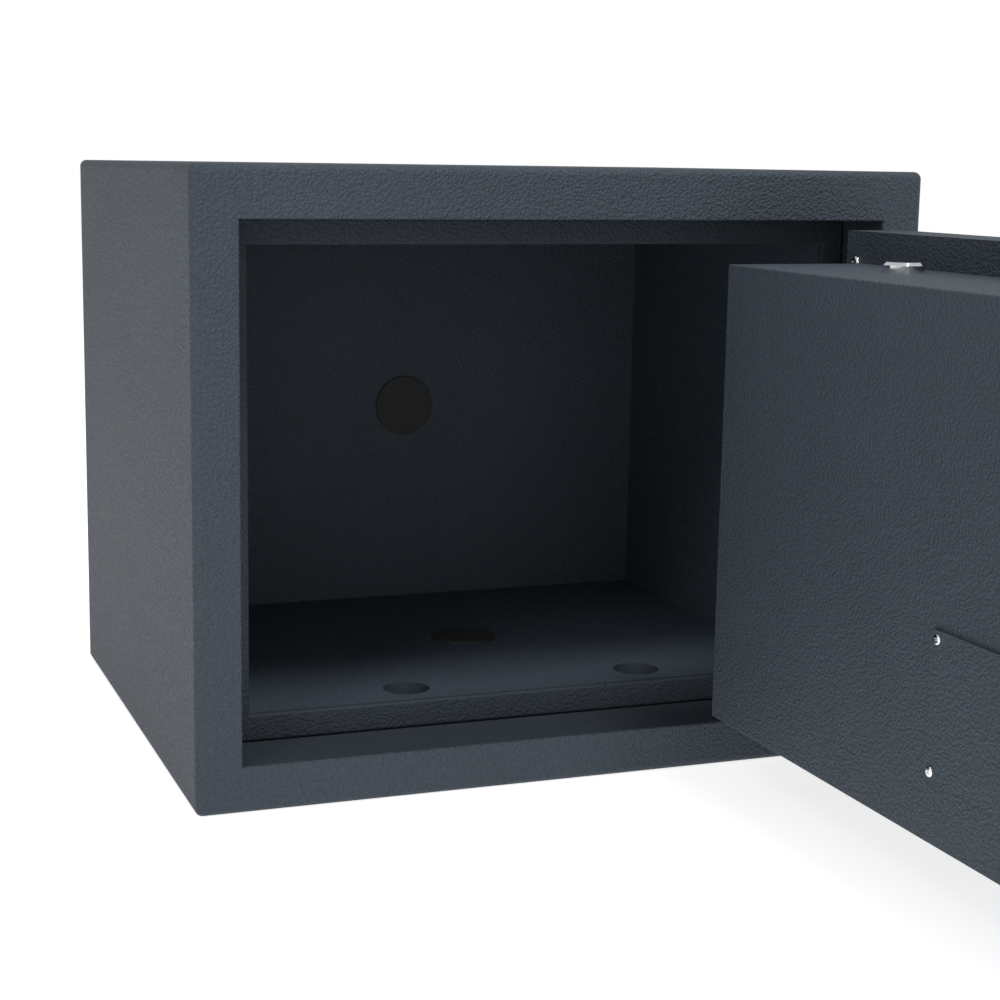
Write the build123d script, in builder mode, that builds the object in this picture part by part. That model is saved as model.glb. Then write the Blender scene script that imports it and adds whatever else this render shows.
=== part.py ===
"""In-room safe: a thick-walled steel case with a stepped door opening, and an outside-hinged plug door.

The door carries a keypad, a motor that drives two vertical locking bolts by a lead screw, and a key
override. Origin: centre of the case's underside. +X is right seen from the front, +Y is back, +Z is up.
The door is drawn swung open by ninety degrees about its hinge axis, with the bolts drawn in.
"""
import os

from build123d import *

# ---------------------------------------------------------------- case, driving dimensions
case_width = 405.0
case_depth = 330.0
case_height = 325.0
skin = 2.0                  # sheet thickness of the case
case_edge = 4.0             # rounding of the folded outer edges
mouth_edge = 1.0            # rounding of the front opening's edge
face_side = 24.0            # width of the front face beside the door
face_bottom = 24.5
face_top = 26.5
rebate_depth = 40.0         # from the front face back to the stop rim
shoulder_side = 13.5        # stop rim's reach inwards from the rebate wall
shoulder_bottom = 15.0
shoulder_top = 14.0
rim_gap = 0.4               # shadow gap between the stop rim and the rebate wall
rim_thickness = 4.0
rim_edge = 1.6
back_wall = 44.0            # liner face to the outside of the rear panel
board_ease = 0.25           # insulating boards are this much smaller than their space all round

# ---------------------------------------------------------------- anchoring
anchor_spacing = 140.0      # between the two open floor holes
anchor_setback = 66.0       # from the front face
plugged_setback = 166.0     # from the front face
rear_anchor_height = 168.0
cup_radius = 15.0
cup_wall = 2.0
cup_bottom = 3.0
anchor_hole_radius = 6.5
plug_flange_radius = 19.5
plug_flange_height = 1.6
plug_stem_radius = 12.6
plug_stem_length = 9.0
plug_edge = 0.6

# ---------------------------------------------------------------- hinge
hinge_x = 187.5
hinge_reach = 10.0          # hinge axis in front of the case's front face
knuckle_radius = 8.0
knuckle_height = 30.0
hinge_pin_radius = 4.0
pin_head_radius = 6.0
pin_head_height = 2.5
running_gap = 0.05          # radial clearance of a turning or sliding fit
washer_height = 1.0
lower_hinge_height = 62.0   # underside of the lower case knuckle
upper_hinge_height = 202.0
lug_thickness = 6.0
lug_relief = 0.6            # keeps the door's lug off the case's front face
lug_length = 42.0

# ---------------------------------------------------------------- door slab
slab_depth = 34.0
slab_hinge_gap = 3.0
slab_free_gap = 4.0         # the free edge needs more room to swing clear
slab_bottom_gap = 3.0
slab_top_gap = 4.0
door_plate = 4.0            # thickness of the outer plate
door_sheet = 2.0
door_edge = 1.5

# ---------------------------------------------------------------- lock box on the door's inside
box_hinge_inset = 29.0      # from the hinge axis
box_free_inset = 330.0
box_bottom = 41.5
box_top = 278.0
box_face_depth = 113.0      # from the door's outer face
box_sheet = 1.5
box_edge = 1.0

# ---------------------------------------------------------------- bolt work
bolt_radius = 10.0
bolt_depth = 60.0           # bolt axis from the door's outer face
bolt_offset = 81.5          # bolt axis from the middle of the case
bolt_proud = 5.0            # drawn-in bolt above the lock box
bolt_throw = 15.0
bolt_chamfer = 1.5
strike_clearance = 1.0
strike_wall = 1.5
strike_end_gap = 6.0        # above a thrown bolt
carriage_low = 192.0
carriage_high = 202.0
carriage_depth = 20.0
carriage_overhang = 14.0
guide_low = 236.0
guide_high = 246.0
guide_margin = 16.0
bush_wall = 3.5
bush_height = 6.0
screw_radius = 4.0
screw_journal_radius = 3.0
screw_journal_low = 132.0
screw_low = 143.6
screw_groove = 0.5          # depth of each groove
screw_groove_width = 1.0
screw_groove_pitch = 6.0
nut_radius = 8.0
nut_flange_radius = 9.5
nut_flange_height = 2.0
motor_radius = 14.0
motor_low = 78.0
motor_high = 126.0
gearbox_high = 140.0
gearbox_width = 30.0
gearbox_corner = 4.0
bracket_sheet = 3.0
bracket_width = 46.0
bracket_reach = 42.0
bracket_rise = 23.0
boss_clearance_radius = 5.0

# ---------------------------------------------------------------- keypad
keypad_middle = 187.5       # from the hinge axis
keypad_height = 160.0
keypad_width = 150.0
keypad_tall = 112.0
keypad_depth = 14.0
keypad_wall = 2.0
keypad_corner = 9.0
keypad_edge = 2.0
key_width = 19.0
key_tall = 12.6
key_corner = 2.5
key_gap = 0.35
key_proud = 2.5
key_travel = 1.2
key_flange = 1.0
key_flange_height = 1.4
key_length = 7.5
key_column_pitch = 24.0
key_row_pitch = 17.0
key_block_middle = 205.0    # from the hinge axis
key_top_row = 168.0
key_names = (("1", "2", "3"), ("4", "5", "6"), ("7", "8", "9"), ("clear", "0", "lock"))
key_edge = 0.5
dome_radius = 3.6
dome_gap = 0.5              # under a pressed key
keypad_board_depth = 4.9    # board's front face above the door's outer face
keypad_board_thickness = 1.6
keypad_board_margin = 2.0
cable_inset = 225.0         # from the hinge axis
cable_height = 132.0
cable_width = 14.0
cable_thickness = 1.0
cable_slot_width = 18.0
cable_slot_tall = 4.0
window_width = 78.0
window_tall = 25.0
window_middle_height = 197.0
window_ledge = 1.5
window_seat = 1.0
module_inset = 3.0          # display module inside the window's outline
module_depth = 4.0

# ---------------------------------------------------------------- key override
lock_inset = 137.0          # from the hinge axis
lock_height = 150.0
lock_barrel_radius = 9.0
lock_core_radius = 5.5
lock_tail_depth = 52.0
tail_thickness = 3.0
tail_length = 20.0
tail_width = 8.0
keyway_width = 1.6
keyway_tall = 7.0
keyway_depth = 18.0
cap_radius = 14.0
cap_thickness = 3.0
cap_pivot_rise = 11.5
cap_pivot_radius = 1.5
cap_edge = 1.0
cap_clearance = 0.35        # under the cap, and under the stud's head
stud_head_radius = 2.5
stud_head_height = 1.0
tail_clearance = 0.35       # between the barrel's end and the core's tail

# ---------------------------------------------------------------- electronics and battery
board_inset = 222.0
board_width = 100.0
board_low = 55.0
board_tall = 110.0
board_standoff = 10.0
board_thickness = 1.6
standoff_radius = 3.0
standoff_margin = 6.0
chip_size = 14.0
chip_height = 2.0
relay_width = 18.0
relay_tall = 12.0
relay_height = 11.0
capacitor_radius = 5.0
capacitor_height = 12.0
socket_width = 16.0
socket_tall = 6.0
socket_height = 7.0
battery_inset = 236.0
battery_width = 74.0
battery_low = 70.0
battery_tall = 66.0
battery_lip = 4.0
battery_cover_sheet = 1.5
battery_cover_corner = 2.5
cover_screw_margin = 5.0
cover_screw_head = 2.4
cover_screw_shank = 1.2
cover_screw_rise = 1.0
tray_wall = 1.5
tray_depth = 20.0
cell_radius = 7.1
cell_length = 50.0
cell_count = 4
cell_pitch = 14.6

# ---------------------------------------------------------------- fasteners
screw_head_radius = 3.6
screw_head_height = 2.2
screw_shank_radius = 1.9
screw_shank_length = 9.0
door_screw_rows = (44.0, 161.0, 278.0)
hinge_side_screw = 22.0     # from the hinge axis
free_side_screw = 352.0
screw_head_edge = 1.1       # rounding of the heads


# ---------------------------------------------------------------- places worked out from the above
front_y = -case_depth / 2
rear_y = case_depth / 2
case_front = Plane(origin=(0, front_y, 0), x_dir=(1, 0, 0), z_dir=(0, -1, 0))
hinge_y = front_y - hinge_reach
door_face_x = hinge_x - hinge_reach
door_front = Plane(origin=(door_face_x, hinge_y, 0), x_dir=(0, -1, 0), z_dir=(-1, 0, 0))

rebate_left = -case_width / 2 + face_side
rebate_right = case_width / 2 - face_side
rebate_low = face_bottom
rebate_high = case_height - face_top
room_left = rebate_left + shoulder_side
room_right = rebate_right - shoulder_side
room_floor = rebate_low + shoulder_bottom
room_ceiling = rebate_high - shoulder_top
room_back_y = rear_y - back_wall
rim_back = rebate_depth + rim_thickness

slab_near = hinge_x - rebate_right + slab_hinge_gap
slab_far = hinge_x - rebate_left - slab_free_gap
slab_low = rebate_low + slab_bottom_gap
slab_high = rebate_high - slab_top_gap

bolt_insets = (hinge_x - bolt_offset, hinge_x + bolt_offset)
anchor_front_y = front_y + anchor_setback
anchor_plugged_y = front_y + plugged_setback
cup_places = (
    (-anchor_spacing / 2, anchor_front_y),
    (anchor_spacing / 2, anchor_front_y),
    (0, anchor_plugged_y),
)


def behind(depth):
    """The case's front plane moved back into the case."""
    return case_front.offset(-depth)


def into_door(depth):
    """The door's outer face moved towards the door's inside."""
    return door_front.offset(depth)


def door_place(inset, depth):
    """Plan position of a point on the door, from the hinge axis and from the outer face."""
    return (door_face_x - depth, hinge_y - inset)


def panel(left, low, right, high, mode=Mode.ADD):
    """A rectangle between four limits, in the sketch that is open."""
    with Locations(((left + right) / 2, (low + high) / 2)):
        Rectangle(right - left, high - low, mode=mode)


def save(piece, label):
    """Label a finished piece and write its file."""
    piece.part.label = label
    export_step(piece.part, f"parts/{label}.step")


os.makedirs("parts", exist_ok=True)

# ================================================================ CASE
# Outer skin before it is parted into shell and base plate. It is open at the back.
with BuildPart() as outer_skin:
    with BuildSketch(behind(0)):
        panel(-case_width / 2, 0, case_width / 2, case_height)
    extrude(amount=-case_depth)
    fillet(outer_skin.edges().filter_by(Axis.Y), case_edge)
    fillet(outer_skin.faces().sort_by(Axis.Y)[0].edges(), case_edge)
    with BuildSketch(behind(skin)):
        panel(-case_width / 2 + skin, skin, case_width / 2 - skin, case_height - skin)
    extrude(amount=-case_depth, mode=Mode.SUBTRACT)
    with BuildSketch(behind(0)):
        panel(rebate_left, rebate_low, rebate_right, rebate_high)
    extrude(amount=-skin, mode=Mode.SUBTRACT)
    fillet(outer_skin.faces().filter_by(Axis.Y).sort_by(Axis.Y)[0].inner_wires().edges(), mouth_edge)
    with BuildSketch(Plane.XY):
        with Locations(*cup_places):
            Circle(anchor_hole_radius)
    extrude(amount=skin, mode=Mode.SUBTRACT)

# Case shell: the top, the sides and the front face, folded from one sheet.
with BuildPart() as case_shell:
    add(outer_skin.part)
    split(bisect_by=Plane.XY.offset(skin), keep=Keep.TOP)
save(case_shell, "case_shell")

# Base plate: the flat underside, welded to the shell all round.
with BuildPart() as base_plate:
    add(outer_skin.part)
    split(bisect_by=Plane.XY.offset(skin), keep=Keep.BOTTOM)
save(base_plate, "base_plate")

# Flat rear panel let into the back of the wrap.
with BuildPart() as rear_panel:
    with BuildSketch(behind(case_depth - skin)):
        panel(-case_width / 2 + skin, skin, case_width / 2 - skin, case_height - skin)
        with Locations((0, rear_anchor_height)):
            Circle(anchor_hole_radius, mode=Mode.SUBTRACT)
    extrude(amount=-skin)
save(rear_panel, "rear_panel")

# Rebate frame: a tube around the door slab, with a ring at its back that ties it to the liner.
with BuildPart() as rebate_frame:
    with BuildSketch(behind(skin)):
        panel(rebate_left - skin, rebate_low - skin, rebate_right + skin, rebate_high + skin)
        panel(rebate_left, rebate_low, rebate_right, rebate_high, Mode.SUBTRACT)
    extrude(amount=-(rim_back - skin))
    with BuildSketch(behind(rim_back)):
        panel(rebate_left - skin, rebate_low - skin, rebate_right + skin, rebate_high + skin)
        panel(room_left - skin, room_floor - skin, room_right + skin, room_ceiling + skin, Mode.SUBTRACT)
    extrude(amount=-skin)
save(rebate_frame, "rebate_frame")

# Stop rim: the flat ring that the door closes against, rounded along both front edges.
with BuildPart() as stop_rim:
    with BuildSketch(behind(rebate_depth)):
        panel(rebate_left + rim_gap, rebate_low + rim_gap, rebate_right - rim_gap, rebate_high - rim_gap)
        panel(room_left, room_floor, room_right, room_ceiling, Mode.SUBTRACT)
    extrude(amount=-rim_thickness)
    fillet(stop_rim.faces().sort_by(Axis.Y)[0].edges(), rim_edge)
save(stop_rim, "stop_rim")

# Inner liner: the box that goods are kept in, pierced for the anchor cups and the bolt strikes.
strike_height = box_top + bolt_proud + bolt_throw + strike_end_gap + skin - room_ceiling
strike_radius = bolt_radius + strike_clearance
strike_outer_radius = strike_radius + strike_wall
strike_y = front_y + bolt_depth
strike_places = ((-bolt_offset, strike_y), (bolt_offset, strike_y))
with BuildPart() as inner_liner:
    with BuildSketch(behind(rim_back)):
        panel(room_left - skin, room_floor - skin, room_right + skin, room_ceiling + skin)
    extrude(amount=-(room_back_y + skin - front_y - rim_back))
    with BuildSketch(behind(rim_back)):
        panel(room_left, room_floor, room_right, room_ceiling)
    extrude(amount=-(room_back_y - front_y - rim_back), mode=Mode.SUBTRACT)
    with BuildSketch(Plane.XY.offset(room_floor)):
        with Locations(*cup_places):
            Circle(cup_radius)
    extrude(amount=-skin, mode=Mode.SUBTRACT)
    with BuildSketch(Plane.XY.offset(room_ceiling)):
        with Locations(*strike_places):
            Circle(strike_outer_radius)
    extrude(amount=skin, mode=Mode.SUBTRACT)
    with BuildSketch(behind(room_back_y - front_y)):
        with Locations((0, rear_anchor_height)):
            Circle(cup_radius)
    extrude(amount=-skin, mode=Mode.SUBTRACT)
save(inner_liner, "inner_liner")

# Insulating infill: stiff boards cut to fit between the skin, the rebate frame and the liner, with
# square pockets around the anchor cups and the bolt strikes.
skin_right = case_width / 2 - skin
skin_high = case_height - skin
skin_front_y = front_y + skin
skin_rear_y = rear_y - skin
frame_right = rebate_right + skin
frame_low = rebate_low - skin
frame_high = rebate_high + skin
frame_back_y = front_y + rim_back + skin
liner_right = room_right + skin
liner_low = room_floor - skin
liner_high = room_ceiling + skin
liner_back_y = room_back_y + skin


def between(start, end, centres, reach):
    """The spans that are left of a strip once pockets about some centres are taken out of it."""
    edges = [start]
    for centre in sorted(centres):
        edges += [centre - reach, centre + reach]
    edges.append(end)
    return list(zip(edges[::2], edges[1::2]))


boards = []
for side in (-1, 1):
    beside_frame = sorted((side * skin_right, side * frame_right))
    beside_liner = sorted((side * skin_right, side * liner_right))
    boards.append((*beside_frame, skin_front_y, frame_back_y, skin, skin_high))
    boards.append((*beside_liner, frame_back_y, skin_rear_y, skin, skin_high))
boards.append((-frame_right, frame_right, skin_front_y, frame_back_y, skin, frame_low))
boards.append((-frame_right, frame_right, skin_front_y, frame_back_y, frame_high, skin_high))
front_cups_x = (-anchor_spacing / 2, anchor_spacing / 2)
front_cups_back = anchor_front_y + cup_radius
for left, right in between(-liner_right, liner_right, front_cups_x, cup_radius):
    boards.append((left, right, frame_back_y, front_cups_back, skin, liner_low))
plugged_cup_front = anchor_plugged_y - cup_radius
plugged_cup_back = anchor_plugged_y + cup_radius
boards.append((-liner_right, liner_right, front_cups_back, plugged_cup_front, skin, liner_low))
for left, right in between(-liner_right, liner_right, (0,), cup_radius):
    boards.append((left, right, plugged_cup_front, plugged_cup_back, skin, liner_low))
    boards.append((left, right, liner_back_y, skin_rear_y, skin, skin_high))
boards.append((-liner_right, liner_right, plugged_cup_back, liner_back_y, skin, liner_low))
for low, high in between(skin, skin_high, (rear_anchor_height,), cup_radius):
    boards.append((-cup_radius, cup_radius, liner_back_y, skin_rear_y, low, high))
strikes_back = strike_y + strike_outer_radius
for left, right in between(-liner_right, liner_right, (-bolt_offset, bolt_offset), strike_outer_radius):
    boards.append((left, right, frame_back_y, strikes_back, liner_high, skin_high))
boards.append((-liner_right, liner_right, strikes_back, liner_back_y, liner_high, skin_high))

with BuildPart() as wall_infill:
    for left, right, near, far, low, high in boards:
        with BuildSketch(Plane.XY.offset(low + board_ease)):
            panel(left + board_ease, near + board_ease, right - board_ease, far - board_ease)
        extrude(amount=high - low - 2 * board_ease)
save(wall_infill, "wall_infill")

# Floor anchor cups: deep cups that take a floor bolt's head, flush with the floor of the liner.
with BuildPart() as floor_anchor_cups:
    with BuildSketch(Plane.XY.offset(skin)):
        with Locations(*cup_places):
            Circle(cup_radius)
    extrude(amount=room_floor - skin)
    with BuildSketch(Plane.XY.offset(skin + cup_bottom)):
        with Locations(*cup_places):
            Circle(cup_radius - cup_wall)
    extrude(amount=room_floor, mode=Mode.SUBTRACT)
    with BuildSketch(Plane.XY.offset(skin)):
        with Locations(*cup_places):
            Circle(anchor_hole_radius)
    extrude(amount=cup_bottom, mode=Mode.SUBTRACT)
save(floor_anchor_cups, "floor_anchor_cups")

# Rear anchor cup, through the back wall.
with BuildPart() as rear_anchor_cup:
    with BuildSketch(behind(room_back_y - front_y)):
        with Locations((0, rear_anchor_height)):
            Circle(cup_radius)
    extrude(amount=-(back_wall - skin))
    with BuildSketch(behind(room_back_y - front_y)):
        with Locations((0, rear_anchor_height)):
            Circle(cup_radius - cup_wall)
    extrude(amount=-(back_wall - skin - cup_bottom), mode=Mode.SUBTRACT)
    with BuildSketch(behind(case_depth - skin)):
        with Locations((0, rear_anchor_height)):
            Circle(anchor_hole_radius)
    extrude(amount=cup_bottom, mode=Mode.SUBTRACT)
save(rear_anchor_cup, "rear_anchor_cup")

# Floor plug: a flanged rubber cap pressed into the middle cup.
with BuildPart() as floor_plug:
    with BuildSketch(Plane.XY.offset(room_floor)):
        with Locations((0, anchor_plugged_y)):
            Circle(plug_flange_radius)
    extrude(amount=plug_flange_height)
    fillet(floor_plug.faces().sort_by(Axis.Z)[-1].edges(), plug_edge)
    with BuildSketch(Plane.XY.offset(room_floor)):
        with Locations((0, anchor_plugged_y)):
            Circle(plug_stem_radius)
    extrude(amount=-plug_stem_length)
save(floor_plug, "floor_plug")

# Rear plug: the same cap in the back wall.
with BuildPart() as rear_plug:
    with BuildSketch(behind(room_back_y - front_y)):
        with Locations((0, rear_anchor_height)):
            Circle(plug_flange_radius)
    extrude(amount=plug_flange_height)
    fillet(rear_plug.faces().sort_by(Axis.Y)[0].edges(), plug_edge)
    with BuildSketch(behind(room_back_y - front_y)):
        with Locations((0, rear_anchor_height)):
            Circle(plug_stem_radius)
    extrude(amount=-plug_stem_length)
save(rear_plug, "rear_plug")

# Bolt strikes: blind sockets in the ceiling that the bolts rise into.
with BuildPart() as bolt_strikes:
    with BuildSketch(Plane.XY.offset(room_ceiling)):
        with Locations(*strike_places):
            Circle(strike_outer_radius)
    extrude(amount=strike_height)
    with BuildSketch(Plane.XY.offset(room_ceiling)):
        with Locations(*strike_places):
            Circle(strike_radius)
    extrude(amount=strike_height - skin, mode=Mode.SUBTRACT)
save(bolt_strikes, "bolt_strikes")

# ================================================================ HINGE
knuckle_bottoms = (lower_hinge_height, upper_hinge_height)
door_knuckle_rise = knuckle_height + washer_height

# Case knuckles: a round knuckle on a block welded to the front face, one low and one high.
with BuildPart() as case_knuckles:
    for bottom in knuckle_bottoms:
        with BuildSketch(Plane.XY.offset(bottom)):
            with Locations((hinge_x, hinge_y)):
                Circle(knuckle_radius)
            panel(hinge_x - lug_thickness / 2, hinge_y, hinge_x + knuckle_radius, front_y)
            with Locations((hinge_x, hinge_y)):
                Circle(hinge_pin_radius, mode=Mode.SUBTRACT)
        extrude(amount=knuckle_height)
save(case_knuckles, "case_knuckles")

# Door knuckles: they sit above the case knuckles, on a lug that lies along the door's outer face.
with BuildPart() as door_knuckles:
    for bottom in knuckle_bottoms:
        with BuildSketch(Plane.XY.offset(bottom + door_knuckle_rise)):
            with Locations((hinge_x, hinge_y)):
                Circle(knuckle_radius)
            panel(door_face_x, hinge_y - lug_length, door_face_x + lug_thickness, hinge_y - slab_near)
            panel(door_face_x + lug_relief, hinge_y - slab_near, door_face_x + lug_thickness, hinge_y)
            with Locations((hinge_x, hinge_y)):
                Circle(hinge_pin_radius + running_gap, mode=Mode.SUBTRACT)
        extrude(amount=knuckle_height)
save(door_knuckles, "door_knuckles")

# Hinge pins: headed pins fixed in the case knuckles, on which the door knuckles turn.
with BuildPart() as hinge_pins:
    for bottom in knuckle_bottoms:
        with BuildSketch(Plane.XY.offset(bottom)):
            with Locations((hinge_x, hinge_y)):
                Circle(hinge_pin_radius)
        extrude(amount=knuckle_height + door_knuckle_rise - pin_head_height)
save(hinge_pins, "hinge_pins")

# Knuckle caps close the tops of the door knuckles over the pin ends.
with BuildPart() as knuckle_caps:
    for bottom in knuckle_bottoms:
        with BuildSketch(Plane.XY.offset(bottom + door_knuckle_rise + knuckle_height)):
            with Locations((hinge_x, hinge_y)):
                Circle(pin_head_radius)
        extrude(amount=pin_head_height)
save(knuckle_caps, "knuckle_caps")

# Bearing washers carry the door's weight between the knuckles.
with BuildPart() as hinge_washers:
    for bottom in knuckle_bottoms:
        with BuildSketch(Plane.XY.offset(bottom + knuckle_height)):
            with Locations((hinge_x, hinge_y)):
                Circle(knuckle_radius - running_gap)
                Circle(hinge_pin_radius + running_gap, mode=Mode.SUBTRACT)
        extrude(amount=washer_height)
save(hinge_washers, "hinge_washers")

# ================================================================ DOOR
# Door pan: outer plate with four returned edges. It is pierced for the keypad cable and the lock.
lock_hole_radius = lock_barrel_radius + running_gap
with BuildPart() as door_pan:
    with BuildSketch(into_door(0)):
        panel(slab_near, slab_low, slab_far, slab_high)
    extrude(amount=slab_depth)
    fillet(door_pan.edges().filter_by(Axis.X), door_edge)
    fillet(door_pan.faces().sort_by(Axis.X)[-1].edges(), door_edge)
    with BuildSketch(into_door(door_plate)):
        panel(slab_near + door_sheet, slab_low + door_sheet, slab_far - door_sheet, slab_high - door_sheet)
    extrude(amount=slab_depth, mode=Mode.SUBTRACT)
    with BuildSketch(into_door(0)):
        with Locations((cable_inset, cable_height)):
            Rectangle(cable_slot_width, cable_slot_tall)
        with Locations((lock_inset, lock_height)):
            Circle(lock_hole_radius)
    extrude(amount=door_plate, mode=Mode.SUBTRACT)
save(door_pan, "door_pan")

# Door back plate closes the pan on the inside, let in flush with its edges.
with BuildPart() as door_back_plate:
    with BuildSketch(into_door(slab_depth - door_sheet)):
        panel(slab_near + door_sheet, slab_low + door_sheet, slab_far - door_sheet, slab_high - door_sheet)
        with Locations((cable_inset, cable_height)):
            Rectangle(cable_slot_width, cable_slot_tall, mode=Mode.SUBTRACT)
        with Locations((lock_inset, lock_height)):
            Circle(lock_hole_radius, mode=Mode.SUBTRACT)
        for row in door_screw_rows:
            for inset in (hinge_side_screw, free_side_screw):
                with Locations((inset, row)):
                    Circle(screw_shank_radius, mode=Mode.SUBTRACT)
    extrude(amount=door_sheet)
save(door_back_plate, "door_back_plate")

# Insulating infill inside the door slab.
with BuildPart() as door_infill:
    with BuildSketch(into_door(door_plate)):
        panel(slab_near + door_sheet, slab_low + door_sheet, slab_far - door_sheet, slab_high - door_sheet)
        with Locations((cable_inset, cable_height)):
            Rectangle(cable_slot_width, cable_slot_tall, mode=Mode.SUBTRACT)
        with Locations((lock_inset, lock_height)):
            Circle(lock_hole_radius, mode=Mode.SUBTRACT)
        for row in door_screw_rows:
            for inset in (hinge_side_screw, free_side_screw):
                with Locations((inset, row)):
                    Circle(screw_shank_radius, mode=Mode.SUBTRACT)
    extrude(amount=slab_depth - door_sheet - door_plate)
save(door_infill, "door_infill")

# Door screws hold the back plate to the pan, three down each side.
with BuildPart() as door_screws:
    for row in door_screw_rows:
        for inset in (hinge_side_screw, free_side_screw):
            with BuildSketch(into_door(slab_depth)):
                with Locations((inset, row)):
                    Circle(screw_head_radius)
            extrude(amount=screw_head_height)
            with BuildSketch(into_door(slab_depth)):
                with Locations((inset, row)):
                    Circle(screw_shank_radius)
            extrude(amount=-screw_shank_length)
    fillet(door_screws.faces().filter_by(Axis.X).group_by(Axis.X)[0].edges(), screw_head_edge)
save(door_screws, "door_screws")

# Lock box: the folded cover over the bolt work, open towards the door slab.
cover_near = battery_inset
cover_far = battery_inset + battery_width
cover_low = battery_low
cover_high = battery_low + battery_tall
opening_near = cover_near + battery_lip
opening_far = cover_far - battery_lip
opening_low = cover_low + battery_lip
opening_high = cover_high - battery_lip
with BuildPart() as lock_box:
    with BuildSketch(into_door(slab_depth)):
        panel(box_hinge_inset, box_bottom, box_free_inset, box_top)
    extrude(amount=box_face_depth - slab_depth)
    fillet(lock_box.edges().filter_by(Axis.X), box_edge)
    fillet(lock_box.faces().sort_by(Axis.X)[0].edges(), box_edge)
    with BuildSketch(into_door(slab_depth)):
        panel(box_hinge_inset + box_sheet, box_bottom + box_sheet,
              box_free_inset - box_sheet, box_top - box_sheet)
    extrude(amount=box_face_depth - slab_depth - box_sheet, mode=Mode.SUBTRACT)
    with BuildSketch(Plane.XY.offset(box_top - box_sheet)):
        with Locations(*[door_place(inset, bolt_depth) for inset in bolt_insets]):
            Circle(bolt_radius + running_gap)
    extrude(amount=box_sheet, mode=Mode.SUBTRACT)
    with BuildSketch(into_door(box_face_depth - box_sheet)):
        panel(opening_near, opening_low, opening_far, opening_high)
    extrude(amount=box_sheet, mode=Mode.SUBTRACT)
save(lock_box, "lock_box")

# ================================================================ BOLT WORK
# Locking bolts: two solid round bolts that stand on the carriage.
with BuildPart() as locking_bolts:
    for inset in bolt_insets:
        with BuildSketch(Plane.XY.offset(carriage_high)):
            with Locations(door_place(inset, bolt_depth)):
                Circle(bolt_radius)
        extrude(amount=box_top + bolt_proud - carriage_high)
    chamfer(locking_bolts.faces().filter_by(Axis.Z).group_by(Axis.Z)[-1].edges(), bolt_chamfer)
save(locking_bolts, "locking_bolts")

# Bolt carriage: the cross bar that lifts both bolts, bored for the lead nut.
screw_place = door_place(hinge_x, bolt_depth)
with BuildPart() as bolt_carriage:
    with BuildSketch(Plane.XY.offset(carriage_low)):
        with Locations(screw_place):
            Rectangle(carriage_depth, 2 * (bolt_offset + carriage_overhang))
            Circle(nut_radius, mode=Mode.SUBTRACT)
        with Locations(*[door_place(inset, bolt_depth) for inset in bolt_insets]):
            Circle(screw_shank_radius, mode=Mode.SUBTRACT)
    extrude(amount=carriage_high - carriage_low)
save(bolt_carriage, "bolt_carriage")

# Bolt screws hold the bolts from under the carriage.
with BuildPart() as bolt_screws:
    for inset in bolt_insets:
        with BuildSketch(Plane.XY.offset(carriage_low)):
            with Locations(door_place(inset, bolt_depth)):
                Circle(screw_head_radius)
        extrude(amount=-screw_head_height)
        with BuildSketch(Plane.XY.offset(carriage_low)):
            with Locations(door_place(inset, bolt_depth)):
                Circle(screw_shank_radius)
        extrude(amount=carriage_high - carriage_low)
save(bolt_screws, "bolt_screws")

# Lead nut: a flanged bronze nut pressed into the carriage from below.
with BuildPart() as lead_nut:
    with BuildSketch(Plane.XY.offset(carriage_low)):
        with Locations(screw_place):
            Circle(nut_radius)
            Circle(screw_radius + running_gap, mode=Mode.SUBTRACT)
    extrude(amount=carriage_high - carriage_low)
    with BuildSketch(Plane.XY.offset(carriage_low)):
        with Locations(screw_place):
            Circle(nut_flange_radius)
            Circle(screw_radius + running_gap, mode=Mode.SUBTRACT)
    extrude(amount=-nut_flange_height)
save(lead_nut, "lead_nut")

# Lead screw: a grooved shaft with a journal that enters the gearbox. It turns, the nut rises.
groove_low = screw_low + screw_groove_pitch
groove_count = int((guide_low - groove_low) / screw_groove_pitch)
with BuildPart() as lead_screw:
    with BuildSketch(Plane.XY.offset(screw_journal_low)):
        with Locations(screw_place):
            Circle(screw_journal_radius)
    extrude(amount=screw_low - screw_journal_low)
    with BuildSketch(Plane.XY.offset(screw_low)):
        with Locations(screw_place):
            Circle(screw_radius)
    extrude(amount=guide_high - screw_low)
    for turn in range(groove_count):
        with BuildSketch(Plane.XY.offset(groove_low + turn * screw_groove_pitch)):
            with Locations(screw_place):
                Circle(screw_radius)
                Circle(screw_radius - screw_groove, mode=Mode.SUBTRACT)
        extrude(amount=screw_groove_width, mode=Mode.SUBTRACT)
save(lead_screw, "lead_screw")

# Guide bar: a block on the back plate that keeps the bolts upright and steadies the screw.
guide_reach = bolt_depth + guide_margin - slab_depth
guide_near_x = door_face_x - slab_depth
with BuildPart() as guide_bar:
    with BuildSketch(Plane.XY.offset(guide_low)):
        panel(guide_near_x - guide_reach, hinge_y - bolt_insets[1] - guide_margin,
              guide_near_x, hinge_y - bolt_insets[0] + guide_margin)
        with Locations(*[door_place(inset, bolt_depth) for inset in bolt_insets]):
            Circle(bolt_radius + running_gap, mode=Mode.SUBTRACT)
        with Locations(screw_place):
            Circle(screw_radius + running_gap, mode=Mode.SUBTRACT)
    extrude(amount=guide_high - guide_low)
save(guide_bar, "guide_bar")

# Bolt bushes: plain rings under the top of the lock box.
bush_low = box_top - box_sheet - bush_height
with BuildPart() as bolt_bushes:
    for inset in bolt_insets:
        with BuildSketch(Plane.XY.offset(bush_low)):
            with Locations(door_place(inset, bolt_depth)):
                Circle(bolt_radius + bush_wall)
                Circle(bolt_radius + running_gap, mode=Mode.SUBTRACT)
        extrude(amount=bush_height)
save(bolt_bushes, "bolt_bushes")

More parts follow.
